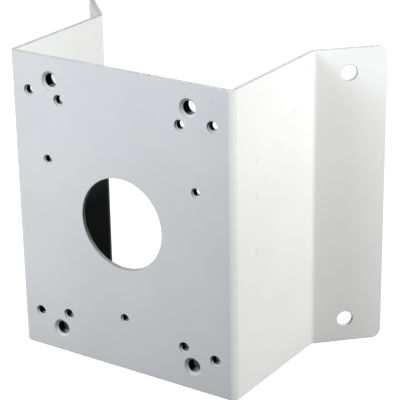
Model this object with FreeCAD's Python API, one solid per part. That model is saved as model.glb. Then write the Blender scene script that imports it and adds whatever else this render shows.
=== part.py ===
# Corner bracket for a wall camera, folded from one steel sheet. Millimetres.
#
# The bracket straddles an outside corner of a building. Its front plate carries the camera's
# wall arm, two side walls run straight back from it, and two flanges turn outwards to lie on
# the two house walls. It stands upright on its lower edge: +Z is up, the front plate faces -Y,
# and the origin is at the middle of its footprint.
import FreeCAD, Part
import math
import os

# Sheet, folds and cut edges. The flanges are folded over a rounder tool than the walls
sheet = 3.0
inner_bend = 1.5
flange_bend = 5.0
edge_break = 0.4

# Overall form, measured on the outer faces
height = 200.0
plate_width = 165.0
wall_depth = 92.8
flange_length = 46.9
flange_turn = 45.0
flange_corner = 6.0

# Cable hole through the middle of the front plate
cable_hole_d = 61.0

# Large threaded holes in a rectangle
large_spacing_x = 102.4
large_from_end = 15.6
large_bore_d = 8.5
large_mouth_d = 12.4
large_collar_d = 13.6
large_collar_stand = 5.0

# Small threaded holes in two rectangles, a wide one and a narrow one
small_bore_d = 5.0
small_mouth_d = 7.8
small_collar_d = 7.6
small_collar_stand = 2.0
wide_spacing_x = 136.0
wide_from_end = 24.2
narrow_spacing_x = 90.0
narrow_from_end = 27.3

# Smallest threaded holes, evenly spaced on a circle round the cable hole, one straight below it
ring_circle_d = 128.6
ring_bore_d = 4.2
ring_mouth_d = 6.8
ring_collar_d = 6.6
ring_collar_stand = 2.0
ring_count = 3

# Collar drawn out behind the plate at every threaded hole: the width of the flat that slopes
# out at its root, the flat that breaks its rim, and the small cone at the bore's rear end
collar_root = 0.5
collar_break = 0.4
rear_mouth = 0.4

# Fixing holes, two in each flange
fixing_hole_d = 10.5
fixing_from_end = 15.8
fixing_from_fold = 22.4

# Sizes that follow from the ones above
outer_bend = inner_bend + sheet
flange_setback = flange_bend * math.tan(math.radians(flange_turn / 2))
plate_flat = plate_width - 2 * outer_bend
wall_flat = wall_depth - outer_bend - flange_setback
flange_flat = flange_length - flange_setback
turn_sine = math.sin(math.radians(flange_turn))
turn_cosine = math.cos(math.radians(flange_turn))
flange_depth = flange_length * turn_cosine + sheet * turn_sine
broken_away = edge_break * min(turn_sine, turn_cosine)
front_y = -(wall_depth + flange_depth - broken_away) / 2
middle_z = height / 2
right_fold = FreeCAD.Vector(plate_width / 2, front_y + wall_depth, 0)
left_fold = FreeCAD.Vector(-plate_width / 2, front_y + wall_depth, 0)

inwards = FreeCAD.Vector(0, 1, 0)

# How far a cutter runs past the face that it enters or leaves
overcut = 1.0

# Faces that meet at less than this angle blend smoothly, so their edge stays as it is
smooth_angle = math.radians(20)


def direction(angle):
    """Unit vector in plan, at an angle in degrees from +X."""
    turn = math.radians(angle)
    return FreeCAD.Vector(math.cos(turn), math.sin(turn), 0)


def bend_arcs(point, heading, turn):
    """Outer and inner arc of one bend that starts at a point of the outer face."""
    side = math.copysign(1, turn)
    outer_radius = outer_bend if turn > 0 else flange_bend
    centre = point + direction(heading + side * 90) * outer_radius
    spokes = [direction(heading - side * 90 + turn * share) for share in (0, 0.5, 1)]
    outer = [centre + spoke * outer_radius for spoke in spokes]
    inner = [centre + spoke * (outer_radius - side * sheet) for spoke in spokes]
    return Part.Arc(*outer).toShape(), Part.Arc(*inner).toShape(), outer[-1]


def folded_section(start, heading, runs, turns):
    """Plan section of the sheet: straight runs of its outer face, joined by bends.

    The sheet lies to the left of the runs, and a positive turn is to the left.
    """
    first_across = direction(heading + 90) * sheet
    edges = [Part.makeLine(start + first_across, start)]
    point = start
    for index, run in enumerate(runs):
        across = direction(heading + 90) * sheet
        end = point + direction(heading) * run
        edges.append(Part.makeLine(point, end))
        edges.append(Part.makeLine(point + across, end + across))
        point = end
        if index < len(turns):
            outer_arc, inner_arc, point = bend_arcs(end, heading, turns[index])
            edges += [outer_arc, inner_arc]
            heading += turns[index]
    edges.append(Part.makeLine(point, point + direction(heading + 90) * sheet))
    return Part.Face(Part.Wire(Part.__sortEdges__(edges)))


def bare_sheet():
    """The folded sheet from one flange's free edge to the other's, before any cut."""
    heading = flange_turn - 90
    start = left_fold - direction(heading) * flange_length
    runs = [flange_flat, wall_flat, plate_flat, wall_flat, flange_flat]
    turns = [-flange_turn, 90, 90, -flange_turn]
    section = folded_section(start, heading, runs, turns)
    return section.extrude(FreeCAD.Vector(0, 0, height))


def round_flange_corners(solid):
    """Round the four free corners, whose edges run through the sheet's thickness."""
    corners = [
        edge
        for edge in solid.Edges
        if abs(edge.Length - sheet) < 1e-6 and abs(edge.tangentAt(edge.FirstParameter).z) < 1e-6
    ]
    return solid.makeFillet(flange_corner, corners)


def drill(position, axis, diameter):
    """Cutter for a plain hole through the sheet, from a point on its outer face."""
    start = position - axis * overcut
    return Part.makeCylinder(diameter / 2, sheet + 2 * overcut, start, axis)


def fixing_drills():
    """Cutters for the fixing holes of both flanges."""
    cutters = []
    for fold, heading, across in (
        (right_fold, 90 - flange_turn, 180 - flange_turn),
        (left_fold, 90 + flange_turn, flange_turn),
    ):
        for z in (fixing_from_end, height - fixing_from_end):
            position = fold + direction(heading) * fixing_from_fold + FreeCAD.Vector(0, 0, z)
            cutters.append(drill(position, direction(across), fixing_hole_d))
    return cutters


def meets_at_an_angle(solid, edge):
    """True for an edge between two faces that aren't tangent to each other there."""
    faces = solid.ancestorsOfType(edge, Part.Face)
    if len(faces) != 2:
        return False
    middle = edge.valueAt((edge.FirstParameter + edge.LastParameter) / 2)
    normals = [face.normalAt(*face.Surface.parameter(middle)) for face in faces]
    return normals[0].getAngle(normals[1]) > smooth_angle


def break_cut_edges(solid):
    """Break every cut edge of the sheet with the small flat that deburring leaves."""
    cut_edges = [edge for edge in solid.Edges if meets_at_an_angle(solid, edge)]
    return solid.makeChamfer(edge_break, cut_edges)


def rectangle(spacing_x, from_end):
    """Places in the front plate, across its middle line and in from its lower and upper ends."""
    return [(x, z) for x in (-spacing_x / 2, spacing_x / 2) for z in (from_end, height - from_end)]


def ring():
    """Places in the front plate on the circle round the cable hole, the first straight below."""
    radius = ring_circle_d / 2
    angles = [math.radians(-90 + 360 * index / ring_count) for index in range(ring_count)]
    return [(radius * math.cos(angle), middle_z + radius * math.sin(angle)) for angle in angles]


def collar(x, z, diameter, stand):
    """Collar drawn out of the plate behind a threaded hole, before it is bored."""
    radius = diameter / 2
    seat = sheet / 2
    tip = sheet + stand
    corners = [
        FreeCAD.Vector(0, seat, 0),
        FreeCAD.Vector(radius + collar_root, seat, 0),
        FreeCAD.Vector(radius + collar_root, sheet, 0),
        FreeCAD.Vector(radius, sheet + collar_root, 0),
        FreeCAD.Vector(radius, tip - collar_break, 0),
        FreeCAD.Vector(radius - collar_break, tip, 0),
        FreeCAD.Vector(0, tip, 0),
    ]
    profile = Part.Face(Part.makePolygon(corners + corners[:1]))
    turned = profile.revolve(FreeCAD.Vector(0, 0, 0), inwards, 360)
    turned.translate(FreeCAD.Vector(x, front_y, z))
    return turned


def tapping(x, z, bore_d, mouth_d, depth):
    """Cutter for a threaded hole: its bore, the wide cone at its front and the small one behind."""
    bore = bore_d / 2
    mouth = mouth_d / 2
    entry = FreeCAD.Vector(x, front_y - overcut, z)
    rear = FreeCAD.Vector(x, front_y + depth - rear_mouth, z)
    body = Part.makeCylinder(bore, depth + 2 * overcut, entry, inwards)
    front_cone = Part.makeCone(mouth + overcut, bore, mouth - bore + overcut, entry, inwards)
    rear_cone = Part.makeCone(bore, bore + rear_mouth + overcut, rear_mouth + overcut, rear, inwards)
    return body.fuse([front_cone, rear_cone])


def corner_bracket():
    """The whole bracket as one folded sheet."""
    solid = round_flange_corners(bare_sheet())
    cable_cutter = drill(FreeCAD.Vector(0, front_y, middle_z), inwards, cable_hole_d)
    solid = break_cut_edges(solid.cut([cable_cutter] + fixing_drills()))
    large = rectangle(large_spacing_x, large_from_end)
    small = rectangle(wide_spacing_x, wide_from_end) + rectangle(narrow_spacing_x, narrow_from_end)
    collars = []
    cutters = []
    for places, bore_d, mouth_d, diameter, stand in (
        (large, large_bore_d, large_mouth_d, large_collar_d, large_collar_stand),
        (small, small_bore_d, small_mouth_d, small_collar_d, small_collar_stand),
        (ring(), ring_bore_d, ring_mouth_d, ring_collar_d, ring_collar_stand),
    ):
        collars += [collar(x, z, diameter, stand) for x, z in places]
        cutters += [tapping(x, z, bore_d, mouth_d, sheet + stand) for x, z in places]
    return solid.fuse(collars).removeSplitter().cut(cutters).removeSplitter()


def save(name, shape):
    """Write one node's STEP file, after a test that it is one sound solid."""
    if not shape.isValid() or len(shape.Solids) != 1:
        raise ValueError(name + " isn't one sound solid")
    print(name, "volume", round(shape.Volume), "faces", len(shape.Faces))
    shape.Solids[0].exportStep("parts/" + name + ".step")


os.makedirs("parts", exist_ok=True)
save("corner_bracket", corner_bracket())
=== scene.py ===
"""Camera corner bracket: one folded steel sheet with tapped holes, in off-white powder coat.

The sheet is made as its maker makes it. It starts as a flat blank with its plain holes, one
Geometry Nodes tree turns the walls of the tapped holes, and another tree welds them in and
folds the sheet. On the flat blank X runs along the sheet, Y through its thickness from the
outer face, and Z up. Sizes are in millimetres until a mesh or a node input takes them.
"""

import logging
import math
from dataclasses import dataclass, field, replace
from enum import Enum
from typing import Optional, Sequence, Union

import bmesh
import bpy
from mathutils import Matrix, Vector, geometry


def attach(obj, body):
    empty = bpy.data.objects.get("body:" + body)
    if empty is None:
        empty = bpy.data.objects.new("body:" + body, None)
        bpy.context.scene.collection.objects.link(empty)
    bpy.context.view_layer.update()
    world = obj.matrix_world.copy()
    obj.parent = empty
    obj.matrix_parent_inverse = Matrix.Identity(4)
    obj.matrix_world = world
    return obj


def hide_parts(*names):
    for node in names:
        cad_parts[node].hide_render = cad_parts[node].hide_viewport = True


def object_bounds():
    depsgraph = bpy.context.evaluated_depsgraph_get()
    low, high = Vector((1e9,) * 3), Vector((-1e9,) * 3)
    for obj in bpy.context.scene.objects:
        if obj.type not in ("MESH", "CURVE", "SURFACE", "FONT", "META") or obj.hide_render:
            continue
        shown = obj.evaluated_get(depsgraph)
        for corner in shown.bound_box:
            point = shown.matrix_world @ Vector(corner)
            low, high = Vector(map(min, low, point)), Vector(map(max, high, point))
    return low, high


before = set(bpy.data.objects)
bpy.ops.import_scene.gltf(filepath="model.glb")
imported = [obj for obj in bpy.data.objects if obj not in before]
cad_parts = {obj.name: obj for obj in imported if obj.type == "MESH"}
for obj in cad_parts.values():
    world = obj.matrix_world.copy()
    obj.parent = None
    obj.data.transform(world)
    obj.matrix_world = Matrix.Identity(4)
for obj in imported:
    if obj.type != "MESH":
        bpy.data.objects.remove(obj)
cad_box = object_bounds()

LOG = logging.getLogger("corner_bracket")
MM = 0.001
# Points that lie nearer to each other than this are welded
WELD = 0.002
# Attributes of the mesh: where the coat lies thin at edges and painted shade darkens it, where the steel is
# bare, where the bores get painted light
EDGE_WEAR_AND_SHADE = "coat_edge"
BARE = "bare_steel"
PAINTED_LIGHT = "screw_wear"
# A face is bare steel where its points say so at more than this
BARE_FROM = 0.9
# Sides of a tapped hole, in degrees round it from +X towards +Z
# The lower side of each bore, where the light falls, drawn bright as painted light
LIT_ANGLE = 292.0
# The side of each mouth away from the light, darkened with painted shade
SHADED_SIDE = 140.0
# Depths between which the rounded rim of a tapped hole passes into its mouth
RIM_START = 0.15
RIM_END = 0.45
# Depth past the foot of the mouth that still counts as the mouth
FOOT_MARGIN = 0.01
# A thread's groove in shares of its pitch: half its width, and the width of a flank
GROOVE_HALF = 0.375
GROOVE_FLANK = 0.3125

Point = tuple[float, float]
Triple = tuple[float, float, float]
Row = tuple[float, float, float, float]
Socket = bpy.types.NodeSocket
Value = Union[Socket, bpy.types.ID, float, int, bool, str, tuple]


class TreeKind(Enum):
    """The two kinds of node group that this scene builds."""

    GEOMETRY = "GeometryNodeTree"
    SHADER = "ShaderNodeTree"


class SocketKind(Enum):
    """The kinds of socket that the groups take and give."""

    BOOLEAN = "NodeSocketBool"
    FLOAT = "NodeSocketFloat"
    GEOMETRY = "NodeSocketGeometry"
    INTEGER = "NodeSocketInt"
    MATERIAL = "NodeSocketMaterial"
    OBJECT = "NodeSocketObject"
    VECTOR = "NodeSocketVector"


class HoleLayout(Enum):
    """How the tapped holes of one size are placed on the front plate."""

    RECTANGLE = "rectangle"
    RING = "ring"


class NodeGraph:
    """Adds and joins the nodes of one tree."""

    def __init__(self, tree: bpy.types.NodeTree) -> None:
        """Start on a tree, whose own nodes are cleared away.

        Args:
            tree: The tree.
        """
        self.tree = tree
        self.tree.nodes.clear()
        self.entry: Optional[bpy.types.Node] = None
        self.exit: Optional[bpy.types.Node] = None

    @classmethod
    def group(cls, name: str, kind: TreeKind) -> "NodeGraph":
        """Make an empty node group with its input and output nodes.

        Args:
            name: What the group is called.
            kind: Geometry or shader.

        Returns:
            The graph of the new group.
        """
        graph = cls(bpy.data.node_groups.new(name, kind.value))
        graph.entry = graph.tree.nodes.new("NodeGroupInput")
        graph.exit = graph.tree.nodes.new("NodeGroupOutput")
        return graph

    def take(self, name: str, kind: SocketKind, default: Optional[Value] = None) -> Socket:
        """Add a named input to the group.

        Args:
            name: The input's name.
            kind: What it carries.
            default: Its value until the user of the group sets another.

        Returns:
            The socket that brings the input's value into the group.
        """
        socket = self.tree.interface.new_socket(name=name, in_out="INPUT", socket_type=kind.value)
        if default is not None:
            socket.default_value = default
        return self.entry.outputs[name]

    def give(self, name: str, kind: SocketKind, source: Socket) -> None:
        """Add a named output to the group and feed it.

        Args:
            name: The output's name.
            kind: What it carries.
            source: The socket inside the group that it puts out.
        """
        self.tree.interface.new_socket(name=name, in_out="OUTPUT", socket_type=kind.value)
        self.tree.links.new(source, self.exit.inputs[name])

    def add(self, kind: str, inputs: Optional[dict] = None, **settings: Value) -> bpy.types.Node:
        """Add a node.

        Args:
            kind: Blender's name for the node.
            inputs: Values or sockets for its inputs, by name or number.
            settings: Values for the node's own properties, which are set first.

        Returns:
            The new node.
        """
        node = self.tree.nodes.new(kind)
        for name, value in settings.items():
            setattr(node, name, value)
        for key, value in (inputs or {}).items():
            self.feed(node.inputs[key], value)
        return node

    def feed(self, socket: Socket, value: Value) -> None:
        """Link a socket into another, or set the other's value where none is given.

        Args:
            socket: The input that is fed.
            value: A socket or a plain value.
        """
        if isinstance(value, Socket):
            self.tree.links.new(value, socket)
        else:
            socket.default_value = value

    def calc(self, operation: str, *values: Value, clamp: bool = False) -> Socket:
        """Add a Math node.

        Args:
            operation: Blender's name for what it works out.
            values: Numbers or sockets, in order.
            clamp: Whether the result is held between 0 and 1.

        Returns:
            The socket with the result.
        """
        inputs = dict(enumerate(values))
        return self.add("ShaderNodeMath", inputs, operation=operation, use_clamp=clamp).outputs[0]

    def product(self, first: Value, *others: Value) -> Socket:
        """Multiply two or more numbers.

        Args:
            first: A number or a socket.
            others: The numbers or sockets that it is multiplied by.

        Returns:
            The socket with the result.
        """
        for other in others:
            first = self.calc("MULTIPLY", first, other)
        return first

    def vector(self, operation: str, *values: Value) -> bpy.types.Node:
        """Add a Vector Math node with these inputs, in order."""
        return self.add("ShaderNodeVectorMath", dict(enumerate(values)), operation=operation)

    def parts(self, vector: Socket) -> Sequence[Socket]:
        """Split a vector and give its three parts."""
        return self.add("ShaderNodeSeparateXYZ", {0: vector}).outputs

    def whole(self, x: Value, y: Value, z: Value) -> Socket:
        """Join three parts into a vector and give it."""
        return self.add("ShaderNodeCombineXYZ", {0: x, 1: y, 2: z}).outputs[0]

    def remap(self, value: Value, low: float, high: float, to_low: Value, to_high: Value) -> Socket:
        """Map a range smoothly onto another.

        Args:
            value: What is mapped.
            low: Where the range starts.
            high: Where it ends.
            to_low: What its start becomes.
            to_high: What its end becomes.

        Returns:
            The socket with the mapped value, held within the new range.
        """
        inputs = {"Value": value, "From Min": low, "From Max": high, "To Min": to_low, "To Max": to_high}
        return self.add("ShaderNodeMapRange", inputs, interpolation_type="SMOOTHSTEP").outputs["Result"]

    def mix(self, share: Value, first: Union[Socket, Triple], second: Union[Socket, Triple]) -> Socket:
        """Mix two colours.

        Args:
            share: How much of the second colour there is.
            first: A colour or a socket.
            second: The other one.

        Returns:
            The socket with the mixed colour.
        """
        node = self.add("ShaderNodeMix", {0: share}, data_type="RGBA")
        for index, colour in ((6, first), (7, second)):
            self.feed(node.inputs[index], opaque(colour) if isinstance(colour, tuple) else colour)
        return node.outputs[2]

    def attribute(self, name: str) -> Socket:
        """Read a float attribute of the points in a geometry tree."""
        node = self.add("GeometryNodeInputNamedAttribute", {"Name": name}, data_type="FLOAT")
        return node.outputs["Attribute"]

    def store(self, shape: Socket, name: str, value: Socket) -> Socket:
        """Write a float attribute on the points in a geometry tree.

        Args:
            shape: The geometry.
            name: The attribute's name.
            value: What each point gets.

        Returns:
            The socket with the geometry that has the attribute.
        """
        inputs = {"Geometry": shape, "Name": name, "Value": value}
        node = self.add("GeometryNodeStoreNamedAttribute", inputs, data_type="FLOAT", domain="POINT")
        return node.outputs[0]


def opaque(colour: Triple) -> tuple[float, ...]:
    """Give a colour with the full alpha that a colour socket wants."""
    return (*colour, 1.0)


def finish_tree(graph: NodeGraph, shape: Socket) -> None:
    """End a geometry tree: its instances made real, coated, and bare steel where the points say so.

    Args:
        graph: The tree's graph.
        shape: The geometry that the tree has made.
    """
    coat = graph.take("Coat", SocketKind.MATERIAL)
    steel = graph.take("Bare Steel", SocketKind.MATERIAL)
    real = graph.add("GeometryNodeRealizeInstances", {"Geometry": shape})
    coated = graph.add("GeometryNodeSetMaterial", {"Geometry": real.outputs[0], "Material": coat})
    bare = graph.calc("GREATER_THAN", graph.attribute(BARE), BARE_FROM)
    inputs = {"Geometry": coated.outputs[0], "Selection": bare, "Material": steel}
    dressed = graph.add("GeometryNodeSetMaterial", inputs)
    graph.give("Geometry", SocketKind.GEOMETRY, dressed.outputs[0])


def place(name: str, mesh: bpy.types.Mesh) -> bpy.types.Object:
    """Put a mesh in the scene as an object at the origin.

    Args:
        name: The object's name.
        mesh: Its mesh.

    Returns:
        The object.
    """
    item = bpy.data.objects.new(name, mesh)
    bpy.context.scene.collection.objects.link(item)
    return item


def plain_mesh(source: bpy.types.Object, name: str) -> bpy.types.Mesh:
    """Keep what an object's modifiers make of it as a plain mesh.

    Args:
        source: The object.
        name: What the mesh is called.

    Returns:
        The mesh.
    """
    bpy.context.view_layer.update()
    depsgraph = bpy.context.evaluated_depsgraph_get()
    mesh = bpy.data.meshes.new_from_object(source.evaluated_get(depsgraph), depsgraph=depsgraph)
    mesh.name = name
    return mesh


def run_tree(
    source: bpy.types.Object, tree: bpy.types.NodeTree, values: dict[str, Value], name: str
) -> bpy.types.Mesh:
    """Run a Geometry Nodes tree on an object and keep the result as a plain mesh.

    Args:
        source: The object that goes into the tree, which keeps no modifier of it.
        tree: The tree.
        values: The tree's named inputs, in metres and degrees.
        name: What the resulting mesh is called.

    Returns:
        The mesh that the tree puts out.
    """
    modifier = source.modifiers.new(tree.name, "NODES")
    modifier.node_group = tree
    for item in tree.interface.items_tree:
        if item.in_out == "INPUT" and item.name in values:
            modifier[item.identifier] = values[item.name]
    source.update_tag()
    mesh = plain_mesh(source, name)
    source.modifiers.remove(modifier)
    return mesh


@dataclass(frozen=True)
class EdgeWear:
    """How thin the coat lies on a cut edge: on its rounded rims, and on the cut beside each face."""

    rim: float
    front_cut: float
    rear_cut: float

    def at(self, turn: float, cut: float) -> float:
        """Give how thin the coat lies at an angle round a rim, for the cut beside that rim."""
        return self.rim * math.sin(2 * turn) + cut * math.sin(turn) ** 2


@dataclass(frozen=True)
class SheetSizes:
    """The folded sheet's sizes, on its outer faces, as the part's source gives them."""

    thickness: float = 3.0
    inner_bend: float = 1.5
    flange_bend: float = 5.0
    height: float = 200.0
    plate_width: float = 165.0
    wall_depth: float = 92.8
    flange_length: float = 46.9
    flange_turn: float = 45.0
    flange_corner: float = 6.0
    outline_round: float = 0.7
    hole_round: float = 0.4
    # The rear cut is drawn darker than the front, partly as painted shade on the rear rims
    outline_wear: EdgeWear = EdgeWear(3.5, 2.4, 4.4)
    wall_bend_steps: int = 24
    flange_bend_steps: int = 16
    corner_steps: int = 12
    round_steps: int = 4

    @property
    def outer_bend(self) -> float:
        """Radius of a fold on its convex side."""
        return self.inner_bend + self.thickness

    @property
    def wall_fold(self) -> float:
        """Where the fold between the plate and a wall starts on the blank."""
        return self.plate_width / 2 - self.outer_bend

    @property
    def flange_setback(self) -> float:
        """Length that the flange's fold takes from each of the two faces beside it."""
        return self.flange_bend * math.tan(math.radians(self.flange_turn / 2))

    @property
    def flange_fold(self) -> float:
        """Where the fold between a wall and a flange starts on the blank."""
        flat = self.wall_depth - self.outer_bend - self.flange_setback
        return self.wall_fold + self.outer_bend * math.pi / 2 + flat

    @property
    def flange_start(self) -> float:
        """Where the flat of a flange starts on the blank."""
        return self.flange_fold + self.flange_bend * math.radians(self.flange_turn)

    @property
    def half_length(self) -> float:
        """Half of the blank's length."""
        return self.on_flange(self.flange_length)

    def on_flange(self, from_fold: float) -> float:
        """Place on the blank of a point of the flange, given from the outer faces' meeting line."""
        return self.flange_start + from_fold - self.flange_setback

    def fold_lines(self) -> list[float]:
        """Work out where the folds of the right half of the blank are divided.

        Returns:
            The places along the blank, from its middle outwards.
        """
        wall = self.outer_bend * math.pi / 2 / self.wall_bend_steps
        flange = (self.flange_start - self.flange_fold) / self.flange_bend_steps
        lines = [self.wall_fold + wall * step for step in range(self.wall_bend_steps + 1)]
        return lines + [self.flange_fold + flange * step for step in range(self.flange_bend_steps + 1)]


@dataclass(frozen=True)
class RoundOpening:
    """A round opening of the flat blank, with its radius on the outer and on the inner face."""

    x: float
    z: float
    outer_radius: float
    inner_radius: float
    steps: int

    def circle(self, radius: float) -> list[Point]:
        """Points round the opening at a radius, from the +X side towards +Z."""
        turns = [2 * math.pi * step / self.steps for step in range(self.steps)]
        return [(self.x + radius * math.cos(turn), self.z + radius * math.sin(turn)) for turn in turns]


@dataclass(frozen=True)
class PlainHole:
    """A hole with a smooth wall and a rounded rim on both faces."""

    x: float
    z: float
    radius: float
    steps: int
    wear: EdgeWear

    def opening(self, rim: float) -> RoundOpening:
        """The opening that it leaves in both faces, outside its rounded rim."""
        return RoundOpening(self.x, self.z, self.radius + rim, self.radius + rim, self.steps)


@dataclass(frozen=True)
class TappedHoles:
    """One size of tapped hole: its mouth, its thread, its collar and where the holes are.

    Bore, root, mouth and collar are radii. Of holes on a ring, spacing_x is the ring's diameter.
    """

    name: str
    layout: HoleLayout
    bore: float
    root: float
    pitch: float
    mouth: float
    spacing_x: float
    collar: float
    collar_stand: float
    spacing_z: float = 0.0
    count: int = 4
    collar_root: float = 0.5
    collar_break: float = 0.4
    rear_mouth: float = 0.4
    rear_flat: float = 0.3
    rear_wear: float = 0.4
    mouth_round: float = 0.35
    mouth_slope: float = 45.0
    ledge: float = 0.0
    ledge_slope: float = 20.0
    rim_wear: float = 7.0
    shaded_side: float = 10.0
    bare_step: float = 0.2
    first_row: float = 0.02
    steps: int = 48
    rows_per_turn: int = 12
    round_steps: int = 4
    root_steps: int = 6

    @property
    def outer_radius(self) -> float:
        """Radius of the opening in the outer face, where the rounded edge of the cone starts."""
        return self.mouth + self.mouth_round * math.tan(math.radians(self.mouth_slope / 2))

    @property
    def inner_radius(self) -> float:
        """Radius of the opening in the inner face."""
        return self.collar + self.collar_root

    @property
    def mouth_depth(self) -> float:
        """Depth of the mouth's sloping wall, down to the ledge at its foot."""
        across = self.mouth - self.bore - self.bare_step - self.ledge
        return across * math.tan(math.radians(self.mouth_slope))

    @property
    def thread_start(self) -> float:
        """Depth at which the mouth's coat ends and the thread starts."""
        return self.mouth_depth + self.ledge * math.tan(math.radians(self.ledge_slope))

    def centres(self, middle: Point) -> list[Point]:
        """Work out where the holes are on the plate.

        Args:
            middle: The pattern's middle.

        Returns:
            One place for each hole.
        """
        x, z = middle
        if self.layout is HoleLayout.RECTANGLE:
            half_x, half_z = self.spacing_x / 2, self.spacing_z / 2
            return [(x + side * half_x, z + end * half_z) for side in (-1, 1) for end in (-1, 1)]
        turns = [math.radians(-90 + 360 * index / self.count) for index in range(self.count)]
        radius = self.spacing_x / 2
        return [(x + radius * math.cos(turn), z + radius * math.sin(turn)) for turn in turns]

    def profile(self, thickness: float) -> list[Row]:
        """Draw the wall's outline from the outer face to the inner one.

        Args:
            thickness: The sheet's thickness.

        Returns:
            Rows of radius, depth, how much of a coat edge it is, and whether it is bare steel.
        """
        end = thickness + self.collar_stand
        return self._mouth_rows() + self._bore_rows(end) + self._collar_rows(thickness, end)

    def _mouth_rows(self) -> list[Row]:
        """Draw the rounded rim, the mouth's sloping wall and the ledge at its foot.

        Returns:
            Their rows of the outline.
        """
        rows = []
        slope = math.radians(self.mouth_slope)
        for step in range(self.round_steps + 1):
            turn = slope * step / self.round_steps
            radius = self.outer_radius - self.mouth_round * math.sin(turn)
            depth = self.mouth_round * (1 - math.cos(turn))
            rows.append((radius, depth, self.rim_wear * math.sin(2 * turn), 0.0))
        for depth in (RIM_END, self.mouth_depth):
            rows.append((self.mouth - depth / math.tan(slope), depth, 0.0, 0.0))
        if self.ledge:
            rows.append((self.bore + self.bare_step, self.thread_start, 0.0, 0.0))
        return rows

    def _bore_rows(self, end: float) -> list[Row]:
        """Draw the bore, with the lead-in to its thread and the small cone at its rear.

        Args:
            end: Depth at which the hole ends.

        Returns:
            Its rows of the outline.
        """
        rows = []
        start = self.thread_start
        count = math.ceil((end - start) * self.rows_per_turn / self.pitch)
        for step in range(count + 1):
            depth = start + self.first_row + (end - start - self.first_row) * step / count
            lead_in = self.bore + self.bare_step - (depth - start)
            radius = max(self.bore, lead_in, self.bore + self.rear_mouth - (end - depth))
            rows.append((radius, depth, 0.0, 1.0))
        return rows

    def _collar_rows(self, thickness: float, end: float) -> list[Row]:
        """Draw the collar behind the plate, from its rear rim back to its root.

        Args:
            thickness: The sheet's thickness.
            end: Depth at which the collar ends.

        Returns:
            Its rows of the outline.
        """
        rows = [(self.bore + self.rear_mouth + self.rear_flat, end, self.rear_wear, 0.0)]
        for step in range(self.round_steps + 1):
            turn = math.radians(90 * step / self.round_steps)
            radius = self.collar - self.collar_break * (1 - math.sin(turn))
            depth = end - self.collar_break * (1 - math.cos(turn))
            rows.append((radius, depth, math.sin(2 * turn), 0.0))
        for step in range(self.root_steps + 1):
            turn = math.radians(90 * step / self.root_steps)
            radius = self.collar + self.collar_root * (1 - math.cos(turn))
            depth = thickness + self.collar_root * (1 - math.sin(turn))
            rows.append((radius, depth, 0.0, 0.0))
        return rows


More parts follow.
